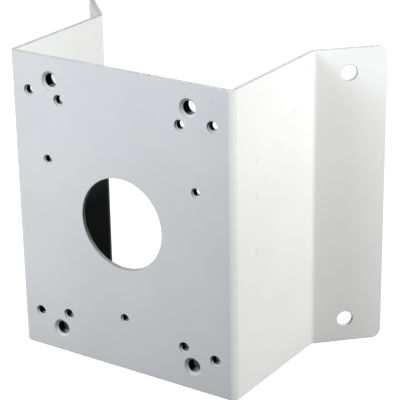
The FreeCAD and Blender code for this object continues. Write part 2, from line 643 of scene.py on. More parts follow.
@dataclass(frozen=True)
class FlatBlank:
    """The sheet as cut, before its tapped holes get their walls and before it is folded."""

    sizes: SheetSizes
    plain_holes: Sequence[PlainHole]
    tapped_openings: Sequence[RoundOpening]

    def build(self) -> bpy.types.Mesh:
        """Make the blank's two faces, its cut edge and the walls of its plain holes.

        Returns:
            The mesh, open only where the tapped holes go.
        """
        mesh = bmesh.new()
        edge = mesh.verts.layers.float.new(EDGE_WEAR_AND_SHADE)
        mesh.verts.layers.float.new(BARE)
        self._face(mesh, 0.0)
        self._face(mesh, self.sizes.thickness)
        self._cut_edge(mesh, edge, self._outline(), self.sizes.outline_round, self.sizes.outline_wear)
        for hole in self.plain_holes:
            rim = hole.opening(self.sizes.hole_round)
            middle = Vector((hole.x, hole.z))
            points = rim.circle(rim.outer_radius)
            path = [(point, (middle - Vector(point)).normalized()) for point in points]
            self._cut_edge(mesh, edge, path, self.sizes.hole_round, hole.wear)
        bmesh.ops.remove_doubles(mesh, verts=mesh.verts, dist=WELD * MM)
        blank = bpy.data.meshes.new("flat_blank")
        mesh.to_mesh(blank)
        mesh.free()
        return blank

    def _outline(self) -> list[tuple[Point, Vector]]:
        """Go round the blank, inside its rounded edge.

        Returns:
            The points, each with the way out of the sheet there.
        """
        sizes = self.sizes
        inset = sizes.outline_round
        half, top = sizes.half_length, sizes.height
        corner = sizes.flange_corner
        lines = sizes.fold_lines()
        lines = [-line for line in reversed(lines)] + lines
        path = [((x, inset), Vector((0, -1))) for x in lines]
        corners = ((half, 0, -90), (half, top, 0), (-half, top, 90), (-half, 0, 180))
        for index, (x, z, start) in enumerate(corners):
            centre = Vector((x - math.copysign(corner, x), z + corner if z == 0 else z - corner))
            for step in range(sizes.corner_steps + 1):
                turn = math.radians(start + 90 * step / sizes.corner_steps)
                out = Vector((math.cos(turn), math.sin(turn)))
                path.append((tuple(centre + out * (corner - inset)), out))
            if index == 1:
                path += [((x, top - inset), Vector((0, 1))) for x in reversed(lines)]
        return path

    def _cut_edge(
        self,
        mesh: bmesh.types.BMesh,
        edge: bmesh.types.BMLayerItem,
        path: Sequence[tuple[Point, Vector]],
        rim: float,
        wear: EdgeWear,
    ) -> None:
        """Add a cut edge through the thickness, rounded where it meets both faces.

        Args:
            mesh: Where it goes.
            edge: The layer that marks where the coat lies thin.
            path: Where the rounding starts on the faces, and the way out of the sheet there.
            rim: The rounding's radius.
            wear: How thin the coat lies on it.
        """
        thickness, steps = self.sizes.thickness, self.sizes.round_steps
        turns = [math.radians(90 * step / steps) for step in range(steps + 1)]
        arc = [(rim * math.sin(turn), rim * (1 - math.cos(turn)), turn) for turn in turns]
        rows = [(out, depth, wear.at(turn, wear.front_cut)) for out, depth, turn in arc]
        rows += [(out, thickness - depth, wear.at(turn, wear.rear_cut)) for out, depth, turn in reversed(arc)]
        loops = []
        for out, depth, thin in rows:
            loop = []
            for point, way in path:
                spot = Vector(point) + way * out
                vertex = mesh.verts.new(Vector((spot.x, depth, spot.y)) * MM)
                vertex[edge] = thin
                loop.append(vertex)
            loops.append(loop)
        for first, second in zip(loops, loops[1:]):
            for index, corner in enumerate(first):
                following = (index + 1) % len(first)
                mesh.faces.new((corner, first[following], second[following], second[index]))

    def _face(self, mesh: bmesh.types.BMesh, depth: float) -> None:
        """Add one face of the sheet, divided along its folds and open at its holes.

        Args:
            mesh: Where it goes.
            depth: How deep the face lies below the outer one.
        """
        openings = [hole.opening(self.sizes.hole_round) for hole in self.plain_holes]
        openings += self.tapped_openings
        points = [point for point, _ in self._outline()]
        edges = [(index, (index + 1) % len(points)) for index in range(len(points))]
        corners = {(round(x, 6), round(z, 6)): index for index, (x, z) in enumerate(points)}
        low = round(self.sizes.outline_round, 6)
        high = round(self.sizes.height - self.sizes.outline_round, 6)
        for line in self.sizes.fold_lines():
            edges += [(corners[x, low], corners[x, high]) for x in (round(-line, 6), round(line, 6))]
        cut_out = []
        for opening in openings:
            radius = opening.outer_radius if depth == 0 else opening.inner_radius
            start, circle = len(points), opening.circle(radius)
            edges += [(start + index, start + (index + 1) % len(circle)) for index in range(len(circle))]
            points += circle
            cut_out.append((opening.x, opening.z, radius))
        flat_points = [Vector(point) for point in points]
        vertices, _, faces, *_ = geometry.delaunay_2d_cdt(flat_points, edges, [], 1, 1e-6)
        made = [mesh.verts.new(Vector((spot.x, depth, spot.y)) * MM) for spot in vertices]
        for face in faces:
            middle = sum((vertices[index] for index in face), Vector((0, 0))) / len(face)
            if all(math.hypot(middle.x - x, middle.y - z) > radius for x, z, radius in cut_out):
                mesh.faces.new([made[index] for index in face])


class TappedHoleTree:
    """Geometry Nodes tree that turns a threaded wall from its outline and repeats it.

    The outline comes in with its radius in X and its depth in Y. The shaded side input sets how
    dark the painted shade lies on the mouth's upper-left side, away from the light, and Run Out
    is the length over which the thread fades in at its start and out at its end.
    """

    INPUTS = {
        "Geometry": SocketKind.GEOMETRY,
        "Steps": SocketKind.INTEGER,
        "Bore Radius": SocketKind.FLOAT,
        "Groove Depth": SocketKind.FLOAT,
        "Pitch": SocketKind.FLOAT,
        "Thread Start": SocketKind.FLOAT,
        "Length": SocketKind.FLOAT,
        "Run Out": SocketKind.FLOAT,
        "Thin Side": SocketKind.FLOAT,
        "On A Ring": SocketKind.BOOLEAN,
        "Spacing X": SocketKind.FLOAT,
        "Spacing Z": SocketKind.FLOAT,
        "Ring Count": SocketKind.INTEGER,
        "Middle": SocketKind.VECTOR,
    }

    def __init__(self) -> None:
        """Build the tree."""
        self.graph = NodeGraph.group("Tapped holes", TreeKind.GEOMETRY)
        self.tree = self.graph.tree
        self.inputs = {name: self.graph.take(name, kind) for name, kind in self.INPUTS.items()}
        inputs = {"Points": self._points(), "Instance": self._wall()}
        finish_tree(self.graph, self.graph.add("GeometryNodeInstanceOnPoints", inputs).outputs[0])

    def _wall(self) -> Socket:
        """Turn the outline round the hole's axis and cut the thread's helix into it.

        Returns:
            The socket with one closed ring of wall, its axis through the origin.
        """
        graph, steps = self.graph, self.inputs["Steps"]
        size = graph.add("GeometryNodeAttributeDomainSize", {"Geometry": self.inputs["Geometry"]})
        rows, columns = size.outputs["Point Count"], graph.calc("ADD", steps, 1.0)
        inputs = {"Size X": 1.0, "Size Y": 1.0, "Vertices X": rows, "Vertices Y": columns}
        grid = graph.add("GeometryNodeMeshGrid", inputs).outputs["Mesh"]
        index = graph.add("GeometryNodeInputIndex").outputs[0]
        row = graph.calc("FLOOR", graph.calc("DIVIDE", graph.calc("ADD", index, 0.5), columns))
        column = graph.calc("SUBTRACT", index, graph.product(row, columns))
        turn = graph.calc("DIVIDE", column, steps)
        angle = graph.product(turn, 2 * math.pi)
        radius, depth, _ = graph.parts(self._sample(row))
        reach = graph.calc("MAXIMUM", radius, self._thread(turn, depth))
        x = graph.product(reach, graph.calc("COSINE", angle))
        z = graph.product(reach, graph.calc("SINE", angle))
        inputs = {"Geometry": grid, "Position": graph.whole(x, depth, z)}
        wall = graph.add("GeometryNodeSetPosition", inputs).outputs[0]
        # The edge value also takes the painted shade on the mouth's upper-left side.
        edge = graph.calc("ADD", self._sample(row, EDGE_WEAR_AND_SHADE), self._painted_mouth_shade(angle, depth))
        # The lower side of each bore is marked for painted light.
        lit_side = self._side(angle, LIT_ANGLE, sharpness=2.0)
        for name, value in ((EDGE_WEAR_AND_SHADE, edge), (BARE, self._sample(row, BARE)), (PAINTED_LIGHT, lit_side)):
            wall = graph.store(wall, name, value)
        closed = graph.add("GeometryNodeMergeByDistance", {"Geometry": wall, "Distance": WELD * MM})
        return closed.outputs[0]

    def _thread(self, turn: Socket, depth: Socket) -> Socket:
        """Work out how far out the thread's helix reaches.

        Args:
            turn: How far round the hole, from 0 to 1.
            depth: How deep below the outer face.

        Returns:
            The socket with the radius, which is the bore's own on the thread's crests.
        """
        graph, inputs = self.graph, self.inputs
        turns_down = graph.calc("DIVIDE", depth, inputs["Pitch"])
        phase = graph.calc("FRACT", graph.calc("SUBTRACT", turns_down, turn))
        from_groove = graph.calc("ABSOLUTE", graph.calc("SUBTRACT", phase, 0.5))
        cut = graph.calc("DIVIDE", graph.calc("SUBTRACT", GROOVE_HALF, from_groove), GROOVE_FLANK, clamp=True)
        from_start = graph.calc("SUBTRACT", depth, inputs["Thread Start"])
        from_rear = graph.calc("SUBTRACT", inputs["Length"], depth)
        from_end = graph.calc("MINIMUM", from_start, from_rear)
        fade = graph.calc("DIVIDE", from_end, inputs["Run Out"], clamp=True)
        share = graph.product(cut, fade)
        return graph.calc("MULTIPLY_ADD", share, inputs["Groove Depth"], inputs["Bore Radius"])

    def _painted_mouth_shade(self, angle: Socket, depth: Socket) -> Socket:
        """Work out the painted shade on the mouth's upper-left side, below its rim and above its thread.

        Args:
            angle: The angle round the hole.
            depth: How deep below the outer face.

        Returns:
            The socket with the painted shade that is added to the coat's edge value.
        """
        graph, inputs = self.graph, self.inputs
        below_rim = graph.remap(depth, RIM_START * MM, RIM_END * MM, 0.0, 1.0)
        foot = graph.calc("ADD", inputs["Thread Start"], FOOT_MARGIN * MM)
        above_thread = graph.calc("LESS_THAN", depth, foot)
        side = self._side(angle, SHADED_SIDE, sharpness=1.6)
        return graph.product(side, below_rim, above_thread, inputs["Thin Side"])

    def _side(self, angle: Socket, middle: float, sharpness: float) -> Socket:
        """Tell one side of the hole from the rest.

        Args:
            angle: The angle round the hole.
            middle: Where that side has its middle, in degrees.
            sharpness: How fast it fades away from there.

        Returns:
            A socket that is 1 in the side's middle and 0 away from it.
        """
        facing = self.graph.calc("COSINE", self.graph.calc("SUBTRACT", angle, math.radians(middle)))
        return self.graph.calc("MULTIPLY_ADD", facing, sharpness, 1.0 - sharpness, clamp=True)

    def _sample(self, row: Socket, name: str = "") -> Socket:
        """Read the outline at one of its points.

        Args:
            row: Which point.
            name: The float attribute that is read, or nothing for the point's position.

        Returns:
            The socket with what was read.
        """
        graph = self.graph
        read = graph.attribute(name) if name else graph.add("GeometryNodeInputPosition").outputs[0]
        inputs = {"Geometry": self.inputs["Geometry"], "Value": read, "Index": row}
        kind = "FLOAT" if name else "FLOAT_VECTOR"
        return graph.add("GeometryNodeSampleIndex", inputs, data_type=kind, domain="POINT").outputs["Value"]

    def _points(self) -> Socket:
        """Lay out the holes' places: a rectangle's corners, or a ring with one straight below.

        Returns:
            The socket with the points.
        """
        graph, inputs = self.graph, self.inputs
        across, up = inputs["Spacing X"], inputs["Spacing Z"]
        sizes = {"Size X": across, "Size Y": up, "Vertices X": 2, "Vertices Y": 2}
        corners = graph.add("GeometryNodeMeshGrid", sizes).outputs["Mesh"]
        sizes = {"Vertices": inputs["Ring Count"], "Radius": graph.product(across, 0.5)}
        circle = graph.add("GeometryNodeMeshCircle", sizes).outputs[0]
        quarter_back = {"Geometry": circle, "Rotation": (0.0, 0.0, -math.pi / 2)}
        ring = graph.add("GeometryNodeTransform", quarter_back).outputs[0]
        choice = {"Switch": inputs["On A Ring"], "False": corners, "True": ring}
        chosen = graph.add("GeometryNodeSwitch", choice, input_type="GEOMETRY").outputs[0]
        x, y, _ = graph.parts(graph.add("GeometryNodeInputPosition").outputs[0])
        spot = graph.vector("ADD", graph.whole(x, 0.0, y), inputs["Middle"]).outputs[0]
        return graph.add("GeometryNodeSetPosition", {"Geometry": chosen, "Position": spot}).outputs[0]


class FoldingTree:
    """Geometry Nodes tree that welds the tapped walls into the blank and folds it."""

    def __init__(self, walls: int) -> None:
        """Build the tree.

        Args:
            walls: How many meshes of tapped walls are welded in.
        """
        graph = NodeGraph.group("Folded sheet", TreeKind.GEOMETRY)
        self.tree = graph.tree
        joined = graph.add("GeometryNodeJoinGeometry", {0: graph.take("Geometry", SocketKind.GEOMETRY)})
        for index in range(walls):
            part = graph.take(f"Tapped Walls {index + 1}", SocketKind.OBJECT)
            wall = graph.add("GeometryNodeObjectInfo", {"Object": part}).outputs["Geometry"]
            graph.feed(joined.inputs[0], wall)
        inputs = {"Geometry": joined.outputs[0], "Distance": WELD * MM}
        welded = graph.add("GeometryNodeMergeByDistance", inputs).outputs[0]
        x, depth, z = graph.parts(graph.add("GeometryNodeInputPosition").outputs[0])
        along = graph.calc("ABSOLUTE", x)
        fold = self._fold_group()
        for name in ("Flange", "Wall"):
            inputs = {
                "Along": along,
                "Depth": depth,
                "Start": graph.take(f"{name} Fold", SocketKind.FLOAT),
                "Radius": graph.take(f"{name} Fold Radius", SocketKind.FLOAT),
                "Turn": graph.calc("RADIANS", graph.take(f"{name} Fold Turn", SocketKind.FLOAT)),
            }
            folded = graph.add("GeometryNodeGroup", inputs, node_tree=fold)
            along, depth = folded.outputs["Along"], folded.outputs["Depth"]
        across = graph.product(graph.calc("SIGN", x), along)
        front = graph.take("Front", SocketKind.FLOAT)
        spot = graph.whole(across, graph.calc("ADD", front, depth), z)
        shape = graph.add("GeometryNodeSetPosition", {"Geometry": welded, "Position": spot})
        finish_tree(graph, shape.outputs[0])

    def _fold_group(self) -> bpy.types.NodeTree:
        """Make the group that bends the sheet round one fold.

        Returns:
            The group, which maps a place along and through the flat sheet to its folded place.
        """
        graph = NodeGraph.group("Fold", TreeKind.GEOMETRY)
        names = ("Along", "Depth", "Start", "Radius", "Turn")
        along, depth, start, radius, turn = (graph.take(name, SocketKind.FLOAT) for name in names)
        length = graph.calc("ABSOLUTE", graph.product(radius, turn))
        beyond = graph.calc("SUBTRACT", along, start)
        share = graph.calc("DIVIDE", beyond, length, clamp=True)
        angle = graph.product(turn, share)
        rest = graph.calc("MAXIMUM", graph.calc("SUBTRACT", beyond, length), 0.0)
        sine, cosine = graph.calc("SINE", angle), graph.calc("COSINE", angle)
        arm = graph.calc("SUBTRACT", radius, depth)
        before = graph.calc("MINIMUM", along, start)
        bent = graph.calc("MULTIPLY_ADD", arm, sine, before)
        risen = graph.calc("SUBTRACT", radius, graph.product(arm, cosine))
        graph.give("Along", SocketKind.FLOAT, graph.calc("MULTIPLY_ADD", rest, cosine, bent))
        graph.give("Depth", SocketKind.FLOAT, graph.calc("MULTIPLY_ADD", rest, sine, risen))
        return graph.tree


class ShaderGroups:
    """The effects that the finishes share, each built once as a shader node group."""

    def __init__(self) -> None:
        """Build all of the groups."""
        self.ripple = self._ripple()
        self.drift = self._drift()
        self.mark = self._mark()

    def _ripple(self) -> bpy.types.NodeTree:
        """Make the group for a fine uneven skin: long waves with a shorter grain on them.

        Returns:
            The group.
        """
        graph = NodeGraph.group("Skin ripple", TreeKind.SHADER)
        spot = graph.take("Vector", SocketKind.VECTOR)
        wave = graph.take("Waves Per Metre", SocketKind.FLOAT, 500.0)
        grain = graph.take("Grains Per Metre", SocketKind.FLOAT, 2400.0)
        share = graph.take("Grain Share", SocketKind.FLOAT, 0.3)
        inputs = {"Vector": spot, "Scale": wave, "Detail": 1.0, "Roughness": 0.4}
        waves = graph.add("ShaderNodeTexNoise", inputs).outputs[0]
        inputs = {"Vector": spot, "Scale": grain, "Detail": 0.0}
        grains = graph.add("ShaderNodeTexNoise", inputs).outputs[0]
        kept = graph.product(waves, graph.calc("SUBTRACT", 1.0, share))
        graph.give("Height", SocketKind.FLOAT, graph.calc("MULTIPLY_ADD", grains, share, kept))
        return graph.tree

    def _drift(self) -> bpy.types.NodeTree:
        """Make the group for a slow cloudy change of tone, from 0 to 1.

        Returns:
            The group.
        """
        graph = NodeGraph.group("Cloudy drift", TreeKind.SHADER)
        spot = graph.take("Vector", SocketKind.VECTOR)
        clouds = graph.take("Clouds Per Metre", SocketKind.FLOAT, 14.0)
        inputs = {"Vector": spot, "Scale": clouds, "Detail": 3.0, "Roughness": 0.55}
        noise = graph.add("ShaderNodeTexNoise", inputs).outputs[0]
        graph.give("Drift", SocketKind.FLOAT, graph.remap(noise, 0.35, 0.65, 0.0, 1.0))
        return graph.tree

    def _mark(self) -> bpy.types.NodeTree:
        """Make the group for one faint mark: 1 in its middle, fading to 0 at its reach.

        Returns:
            The group.
        """
        graph = NodeGraph.group("Faint mark", TreeKind.SHADER)
        spot = graph.take("Vector", SocketKind.VECTOR)
        centre = graph.take("Centre", SocketKind.VECTOR)
        reach = graph.take("Reach", SocketKind.VECTOR, (0.001, 0.001, 0.001))
        away = graph.vector("SUBTRACT", spot, centre).outputs[0]
        scaled = graph.vector("DIVIDE", away, reach).outputs[0]
        distance = graph.vector("LENGTH", scaled).outputs["Value"]
        graph.give("Mask", SocketKind.FLOAT, graph.remap(distance, 0.0, 1.0, 1.0, 0.0))
        return graph.tree


def new_material(name: str) -> tuple[bpy.types.Material, NodeGraph]:
    """Make an empty material.

    Args:
        name: What it is called.

    Returns:
        The material, and the graph that takes its nodes.
    """
    material = bpy.data.materials.new(name)
    material.use_nodes = True
    return material, NodeGraph(material.node_tree)


@dataclass(frozen=True)
class FaintMark:
    """A small mark on the coat: where it is, how far it reaches, and how dark it is."""

    centre: Triple
    reach: Triple
    depth: float


@dataclass(frozen=True)
class ChannelShade:
    """Painted shade in the space between the walls, near black lower down.

    Below the upper end there is none as far as coated, and it is full from thin on. Towards the
    open rear it fades out again between mouth_start and mouth_end.
    """

    half_width: float = 81.0
    front: float = -61.4
    height: float = 200.0
    coated: float = 22.0
    thin: float = 130.0
    mouth_start: float = 26.0
    mouth_end: float = 38.0

    def mask(self, graph: NodeGraph, spot: Socket) -> Socket:
        """Tell how much painted shade a point of the coat gets inside the channel.

        Args:
            graph: The coat's graph.
            spot: The point, in the part's frame.

        Returns:
            A socket that is 0 outside, near the upper end and at the open rear, and 1 deep inside.
        """
        x, y, z = graph.parts(spot)
        between = graph.calc("LESS_THAN", graph.calc("ABSOLUTE", x), self.half_width * MM)
        behind = graph.calc("GREATER_THAN", y, self.front * MM)
        down = graph.calc("SUBTRACT", self.height * MM, z)
        deep = graph.remap(down, self.coated * MM, self.thin * MM, 0.0, 1.0)
        far_in = graph.remap(y, self.mouth_start * MM, self.mouth_end * MM, 1.0, 0.0)
        return graph.product(between, behind, deep, far_in)


@dataclass(frozen=True)
class PowderCoat:
    """Satin off-white powder coat with a fine orange peel, thin at cut edges, faintly marked, with painted
    shade.
    """

    colour: Triple = (0.76, 0.77, 0.78)
    shade: float = 0.965
    edge_and_shade_colour: Triple = (0.22, 0.23, 0.25)
    edge_strength: float = 0.11
    mark_colour: Triple = (0.22, 0.23, 0.24)
    painted_shade_colour: Triple = (0.030, 0.031, 0.032)
    roughness: float = 0.48
    roughness_spread: float = 0.03
    peel_height: float = 0.010
    sheen: float = 0.2
    matt_edge: float = 2.5
    channel: ChannelShade = ChannelShade()
    marks: tuple[FaintMark, ...] = ()

    def material(self, groups: ShaderGroups) -> bpy.types.Material:
        """Build the coat's material.

        Args:
            groups: The shared effects.

        Returns:
            The material.
        """
        material, graph = new_material("powder_coat_off_white")
        spot = graph.add("ShaderNodeTexCoord").outputs["Object"]
        ripple = graph.add("ShaderNodeGroup", {"Vector": spot}, node_tree=groups.ripple).outputs["Height"]
        drift = graph.add("ShaderNodeGroup", {"Vector": spot}, node_tree=groups.drift).outputs["Drift"]
        edge = graph.add("ShaderNodeAttribute", attribute_name=EDGE_WEAR_AND_SHADE).outputs["Fac"]
        inner = self.channel.mask(graph, spot)
        patchy = graph.remap(ripple, 0.35, 0.6, 0.5, 1.0)
        # The edge value is thin coat at cut edges, partly painted shade on the rear rims, and painted shade
        # on one side of the mouths.
        thin = graph.product(edge, patchy, self.edge_strength)
        colour = graph.mix(drift, tuple(part * self.shade for part in self.colour), self.colour)
        colour = graph.mix(thin, colour, self.edge_and_shade_colour)
        # Painted shade: deep in the channel the coat turns near black, darker lower down.
        colour = graph.mix(inner, colour, self.painted_shade_colour)
        for mark in self.marks:
            colour = self._marked(graph, groups, spot, mark, colour)
        spread = self.roughness_spread
        rough = graph.remap(drift, 0.0, 1.0, self.roughness + spread, self.roughness - spread)
        # The painted shade in the channel and the edge value also take the coat's sheen away.
        matt = graph.calc("ADD", graph.product(inner, self.matt_edge), edge)
        sheen = graph.remap(matt, 0.0, self.matt_edge, self.sheen, 0.0)
        inputs = {"Strength": 0.6, "Distance": self.peel_height * MM, "Height": ripple}
        bump = graph.add("ShaderNodeBump", inputs).outputs[0]
        inputs = {"Base Color": colour, "Roughness": rough, "Specular IOR Level": sheen, "Normal": bump}
        principled = graph.add("ShaderNodeBsdfPrincipled", inputs)
        graph.add("ShaderNodeOutputMaterial", {"Surface": principled.outputs[0]})
        return material

    def _marked(
        self, graph: NodeGraph, groups: ShaderGroups, spot: Socket, mark: FaintMark, colour: Socket
    ) -> Socket:
        """Put one faint mark on the coat.

        Args:
            graph: The coat's graph.
            groups: The shared effects.
            spot: The point of the coat, in the part's frame.
            mark: The mark.
            colour: The coat's colour without it.

        Returns:
            The socket with the coat's colour that has the mark.
        """
        centre, reach = (tuple(part * MM for part in size) for size in (mark.centre, mark.reach))
        inputs = {"Vector": spot, "Centre": centre, "Reach": reach}
        mask = graph.add("ShaderNodeGroup", inputs, node_tree=groups.mark).outputs["Mask"]
        return graph.mix(graph.product(mask, mark.depth), colour, self.mark_colour)


@dataclass(frozen=True)
class BareThread:
    """Cut steel inside the threads, drawn near black as painted shade, and bright below as painted light."""

    colour: Triple = (0.50, 0.50, 0.52)
    bore_shade_colour: Triple = (0.010, 0.010, 0.011)
    roughness: float = 0.3
    roughness_spread: float = 0.08
    sheen: float = 0.0
    clouds: float = 420.0
    waves: float = 3000.0
    grains: float = 9000.0
    grain_height: float = 0.01

    def material(self, groups: ShaderGroups) -> bpy.types.Material:
        """Build the bare steel's material.

        Args:
            groups: The shared effects.

        Returns:
            The material.
        """
        material, graph = new_material("bare_thread_steel")
        spot = graph.add("ShaderNodeTexCoord").outputs["Object"]
        inputs = {"Vector": spot, "Clouds Per Metre": self.clouds}
        drift = graph.add("ShaderNodeGroup", inputs, node_tree=groups.drift).outputs["Drift"]
        inputs = {"Vector": spot, "Waves Per Metre": self.waves, "Grains Per Metre": self.grains}
        ripple = graph.add("ShaderNodeGroup", inputs, node_tree=groups.ripple).outputs["Height"]
        lit_side = graph.add("ShaderNodeAttribute", attribute_name=PAINTED_LIGHT).outputs["Fac"]
        patchy = graph.remap(drift, 0.0, 1.0, 0.4, 1.0)
        # Painted light and shade: bright steel on the bore's lower side, where light falls, and near black
        # elsewhere.
        colour = graph.mix(graph.product(lit_side, patchy), self.bore_shade_colour, self.colour)
        spread = self.roughness_spread
        rough = graph.remap(drift, 0.0, 1.0, self.roughness - spread, self.roughness + spread)
        inputs = {"Strength": 0.5, "Distance": self.grain_height * MM, "Height": ripple}
        bump = graph.add("ShaderNodeBump", inputs).outputs[0]
        inputs = {"Base Color": colour, "Roughness": rough, "Specular IOR Level": self.sheen, "Normal": bump}
        principled = graph.add("ShaderNodeBsdfPrincipled", inputs)
        graph.add("ShaderNodeOutputMaterial", {"Surface": principled.outputs[0]})
        return material


@dataclass
class CornerBracket:
    """The whole bracket: its sheet, its holes and its two finishes."""

    sizes: SheetSizes
    tapped: tuple[TappedHoles, ...]
    plain_holes: tuple[PlainHole, ...]
    coat: PowderCoat
    thread: BareThread
    materials: dict[str, bpy.types.Material] = field(default_factory=dict)

    def build(self, groups: ShaderGroups) -> bpy.types.Object:
        """Cut, tap, fold and dress the sheet.

        Args:
            groups: The shared shader groups.

        Returns:
            The finished piece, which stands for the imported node.
        """
        self.materials = {"Coat": self.coat.material(groups), "Bare Steel": self.thread.material(groups)}
        walls = [place(f"tapped_walls_{item.name}", self._tapped_walls(item)) for item in self.tapped]
        openings = [
            RoundOpening(x, z, item.outer_radius, item.inner_radius, item.steps)
            for item in self.tapped
            for x, z in item.centres((0.0, self.sizes.height / 2))
        ]
        blank = place("flat_blank", FlatBlank(self.sizes, self.plain_holes, openings).build())
        holes = len(openings) + len(self.plain_holes)
        LOG.info("flat blank: %d faces, %d holes", len(blank.data.polygons), holes)
        folded = self._fold(blank, walls)
        for item in (*walls, blank):
            bpy.data.objects.remove(item)
        self._close(folded)
        piece = place("folded_bracket", self._smooth(folded))
        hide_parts("corner_bracket")
        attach(piece, "root")
        return piece

    def _tapped_walls(self, item: TappedHoles) -> bpy.types.Mesh:
        """Turn the walls of all holes of one size.

        Args:
            item: The size of hole.

        Returns:
            Their mesh, in its place on the blank.
        """
        rows = item.profile(self.sizes.thickness)
        outline = bpy.data.meshes.new(f"outline_{item.name}")
        edges = [(index, index + 1) for index in range(len(rows) - 1)]
        outline.from_pydata([(row[0] * MM, row[1] * MM, 0.0) for row in rows], edges, [])
        for name, column in ((EDGE_WEAR_AND_SHADE, 2), (BARE, 3)):
            layer = outline.attributes.new(name, "FLOAT", "POINT")
            layer.data.foreach_set("value", [row[column] for row in rows])
        source = place(outline.name, outline)
        values = {
            "Steps": item.steps,
            "Bore Radius": item.bore * MM,
            "Groove Depth": (item.root - item.bore) * MM,
            "Pitch": item.pitch * MM,
            "Thread Start": item.thread_start * MM,
            "Length": (self.sizes.thickness + item.collar_stand) * MM,
            "Run Out": item.pitch * 0.5 * MM,
            "Thin Side": item.shaded_side,
            "On A Ring": item.layout is HoleLayout.RING,
            "Spacing X": item.spacing_x * MM,
            "Spacing Z": item.spacing_z * MM,
            "Ring Count": item.count,
            "Middle": (0.0, 0.0, self.sizes.height / 2 * MM),
            **self.materials,
        }
        walls = run_tree(source, TappedHoleTree().tree, values, f"tapped_walls_{item.name}")
        bpy.data.objects.remove(source)
        LOG.info("%s: %d holes, %d faces", item.name, item.count, len(walls.polygons))
        return walls

    def _fold(self, blank: bpy.types.Object, walls: Sequence[bpy.types.Object]) -> bpy.types.Mesh:
        """Weld the tapped walls in and fold the sheet.

        Args:
            blank: The flat blank.
            walls: The tapped walls, one object for each size.

        Returns:
            The folded sheet's mesh, in the part's frame.
        """
        sizes = self.sizes
        values = {
            "Flange Fold": sizes.flange_fold * MM,
            "Flange Fold Radius": -sizes.flange_bend * MM,
            "Flange Fold Turn": -sizes.flange_turn,
            "Wall Fold": sizes.wall_fold * MM,
            "Wall Fold Radius": sizes.outer_bend * MM,
            "Wall Fold Turn": 90.0,
            "Front": cad_box[0].y,
            **self.materials,
        }
        values |= {f"Tapped Walls {index + 1}": item for index, item in enumerate(walls)}
        return run_tree(blank, FoldingTree(len(walls)).tree, values, "folded_bracket")

    def _close(self, mesh: bpy.types.Mesh) -> None:
        """Turn every face outwards and report whether the sheet is closed.

        Args:
            mesh: The folded sheet.
        """
        work = bmesh.new()
        work.from_mesh(mesh)
        bmesh.ops.recalc_face_normals(work, faces=work.faces)
        if work.calc_volume(signed=True) < 0:
            bmesh.ops.reverse_faces(work, faces=work.faces)
        loose = [edge for edge in work.edges if len(edge.link_faces) != 2]
        LOG.info("folded sheet: %d open edges, %.1f mm3", len(loose), work.calc_volume() / MM**3)
        work.to_mesh(mesh)
        work.free()

    def _smooth(self, mesh: bpy.types.Mesh) -> bpy.types.Mesh:
        """Shade the folds and roundings smooth and keep the flats flat.

        Args:
            mesh: The closed sheet.

        Returns:
            The same shape with its normals set.
        """
        mesh.shade_smooth()
        mesh.set_sharp_from_angle(angle=math.radians(40))
        source = place("shading", mesh)
        source.modifiers.new("flat faces", "WEIGHTED_NORMAL").keep_sharp = True
        shaded = plain_mesh(source, "folded_bracket")
        bpy.data.objects.remove(source)
        return shaded


@dataclass(frozen=True)
class Softbox:
    """A square lamp aimed at the bracket's middle, with its distance and size in metres."""

    name: str
    azimuth: float
    elevation: float
    distance: float
    size: float
    watts: float
    colour: Triple = (1.0, 1.0, 1.0)

    def build(self, target: Vector) -> bpy.types.Object:
        """Hang the lamp.

        Args:
            target: What it points at.

        Returns:
            The lamp.
        """
        data = bpy.data.lights.new(self.name, "AREA")
        data.size = self.size
        data.energy = self.watts
        data.color = self.colour
        lamp = bpy.data.objects.new(self.name, data)
        turn, rise = math.radians(self.azimuth), math.radians(self.elevation)
        away = Vector((math.sin(turn) * math.cos(rise), -math.cos(turn) * math.cos(rise), math.sin(rise)))
        lamp.location = target + away * self.distance
        lamp.rotation_euler = (-away).to_track_quat("-Z", "Y").to_euler()
        lamp.visible_camera = False
        bpy.context.scene.collection.objects.link(lamp)
        return lamp


